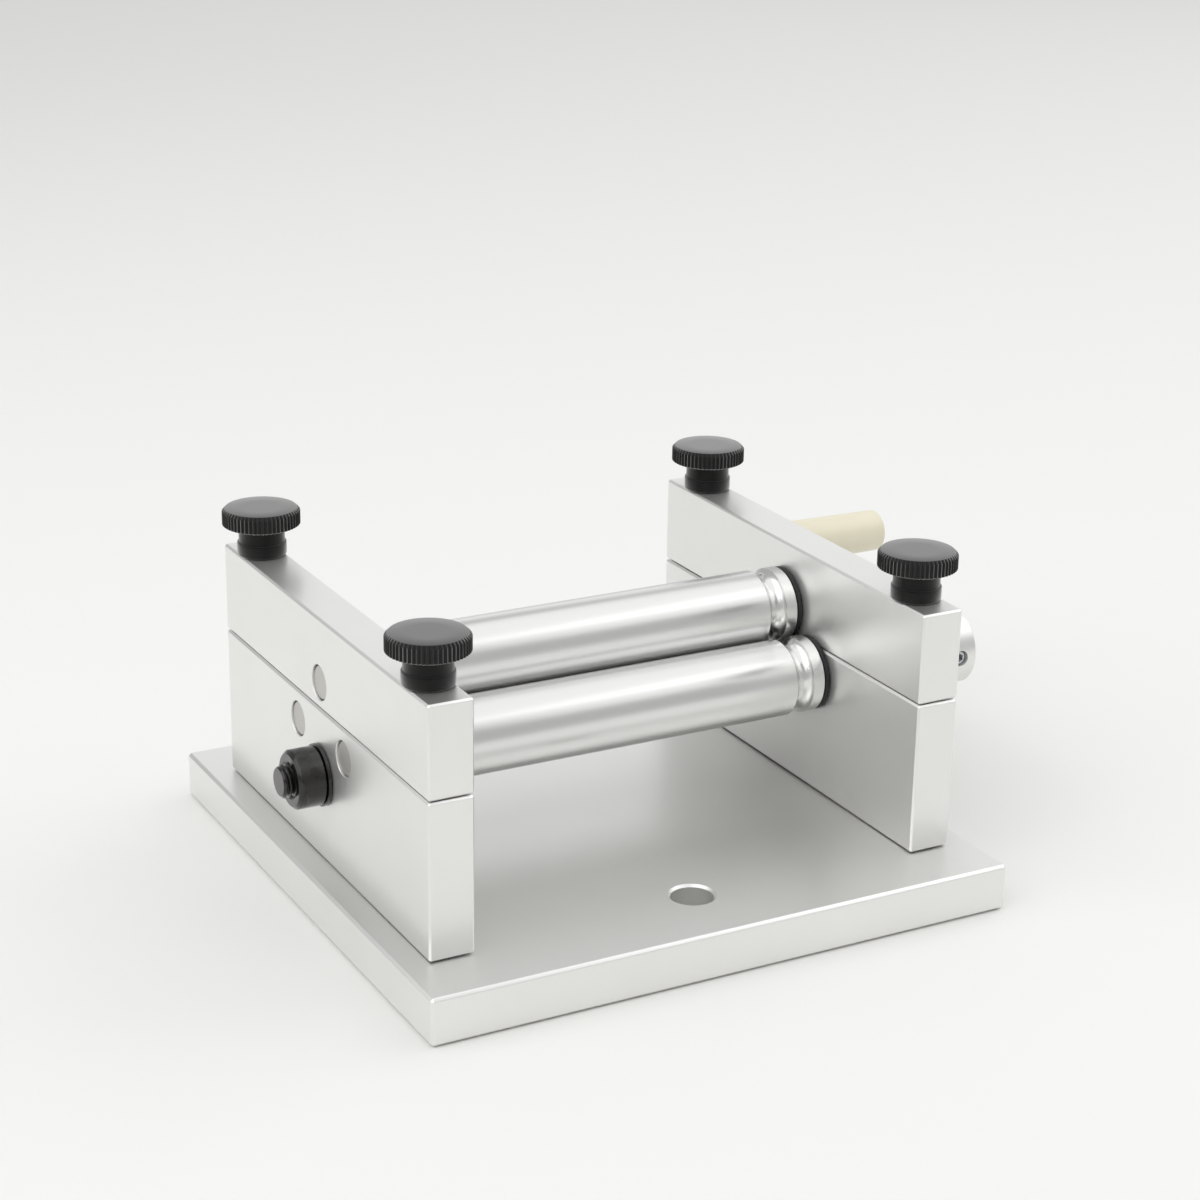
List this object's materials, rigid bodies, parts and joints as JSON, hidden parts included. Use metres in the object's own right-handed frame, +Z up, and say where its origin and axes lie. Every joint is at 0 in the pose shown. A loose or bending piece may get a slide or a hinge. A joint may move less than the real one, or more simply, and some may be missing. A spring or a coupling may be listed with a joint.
{
  "type": "plate bending machine",
  "caption": "Small bench plate bender: rollers between split side blocks on a square base, with thumb screw pressure bars and a hand crank.",
  "frame": {"origin": "middle of the base plate's underside, where it stands on the bench", "axes": "+X along the rollers towards the crank, +Y from the feed side to the far side, +Z up"},
  "size_m": [0.2151, 0.1594, 0.084],
  "materials": {
    "satin_aluminium": "bead-blasted, clear satin anodised plate with machined chamfers",
    "turned_steel": "fine turned and satin polished round bar, polished in the groove",
    "black_nylon": "matt black sheet plastic",
    "black_oxide_steel": "black oxide, slightly oily satin",
    "black_plastic": "satin black moulded plastic",
    "zinc_steel": "bright zinc plate",
    "spring_steel": "bright drawn wire",
    "cream_plastic": "cream moulded plastic, slightly glossy"
  },
  "bodies": {
    "frame": {"base_plate": "satin_aluminium", "left_side_block": "satin_aluminium", "right_side_block": "satin_aluminium", "stay_bar": "satin_aluminium", "left_stay_nut": "black_oxide_steel", "right_stay_nut": "black_oxide_steel", "left_stay_stud": "black_oxide_steel", "right_stay_stud": "black_oxide_steel", "left_stay_washer": "black_oxide_steel", "right_stay_washer": "black_oxide_steel", "front_left_washer": "black_nylon", "front_right_washer": "black_nylon", "rear_left_washer": "black_nylon", "rear_right_washer": "black_nylon", "left_front_base_screw": "black_oxide_steel", "left_rear_base_screw": "black_oxide_steel", "right_front_base_screw": "black_oxide_steel", "right_rear_base_screw": "black_oxide_steel", "left_front_lift_spring": "spring_steel", "left_rear_lift_spring": "spring_steel", "right_front_lift_spring": "spring_steel", "right_rear_lift_spring": "spring_steel"},
    "front_drive": {"front_roller": "turned_steel", "crank_arm": "satin_aluminium", "crank_set_screw": "zinc_steel", "handle_spindle": "zinc_steel"},
    "grip": {"crank_grip": "cream_plastic"},
    "rear_idler": {"rear_roller": "turned_steel"},
    "press": {"left_pressure_bar": "satin_aluminium", "right_pressure_bar": "satin_aluminium", "top_left_washer": "black_nylon", "top_right_washer": "black_nylon"},
    "top_idler": {"top_roller": "turned_steel"},
    "left_front_thumb": {"left_front_thumb_head": "black_plastic", "left_front_thumb_stud": "zinc_steel"},
    "left_rear_thumb": {"left_rear_thumb_head": "black_plastic", "left_rear_thumb_stud": "zinc_steel"},
    "right_front_thumb": {"right_front_thumb_head": "black_plastic", "right_front_thumb_stud": "zinc_steel"},
    "right_rear_thumb": {"right_rear_thumb_head": "black_plastic", "right_rear_thumb_stud": "zinc_steel"}
  },
  "joints": [
    {"name": "front_drive_spin", "type": "hinge", "parent": "frame", "child": "front_drive", "pos_m": [0.09, -0.0136, 0.04228], "axis": [1, 0, 0], "continuous": true},
    {"name": "grip_spin", "type": "hinge", "parent": "front_drive", "child": "grip", "pos_m": [0.1018, 0.0749, 0.04228], "axis": [1, 0, 0], "continuous": true},
    {"name": "rear_roller_spin", "type": "hinge", "parent": "frame", "child": "rear_idler", "pos_m": [0, 0.0136, 0.04228], "axis": [1, 0, 0], "continuous": true},
    {"name": "press_lift", "type": "slide", "parent": "frame", "child": "press", "axis": [0, 0, 1], "range_m": [0, 0.0064], "deforming": ["left_front_lift_spring", "left_rear_lift_spring", "right_front_lift_spring", "right_rear_lift_spring"]},
    {"name": "top_roller_spin", "type": "hinge", "parent": "press", "child": "top_idler", "pos_m": [0, 0, 0.05612], "axis": [1, 0, 0], "continuous": true},
    {"name": "left_front_thumb_turn", "type": "hinge", "parent": "press", "child": "left_front_thumb", "pos_m": [-0.063, -0.0485, 0.0723], "axis": [0, 0, 1], "range_deg": [0, 2880]},
    {"name": "left_rear_thumb_turn", "type": "hinge", "parent": "press", "child": "left_rear_thumb", "pos_m": [-0.063, 0.0485, 0.0723], "axis": [0, 0, 1], "range_deg": [0, 2880]},
    {"name": "right_front_thumb_turn", "type": "hinge", "parent": "press", "child": "right_front_thumb", "pos_m": [0.063, -0.0485, 0.0723], "axis": [0, 0, 1], "range_deg": [0, 2880]},
    {"name": "right_rear_thumb_turn", "type": "hinge", "parent": "press", "child": "right_rear_thumb", "pos_m": [0.063, 0.0485, 0.0723], "axis": [0, 0, 1], "range_deg": [0, 2880]}
  ],
  "couplings": [
    {"joint": "left_front_thumb_turn", "follows": "press_lift", "rad_per_m": 7854},
    {"joint": "left_rear_thumb_turn", "follows": "press_lift", "rad_per_m": 7854},
    {"joint": "right_front_thumb_turn", "follows": "press_lift", "rad_per_m": 7854},
    {"joint": "right_rear_thumb_turn", "follows": "press_lift", "rad_per_m": 7854}
  ]
}
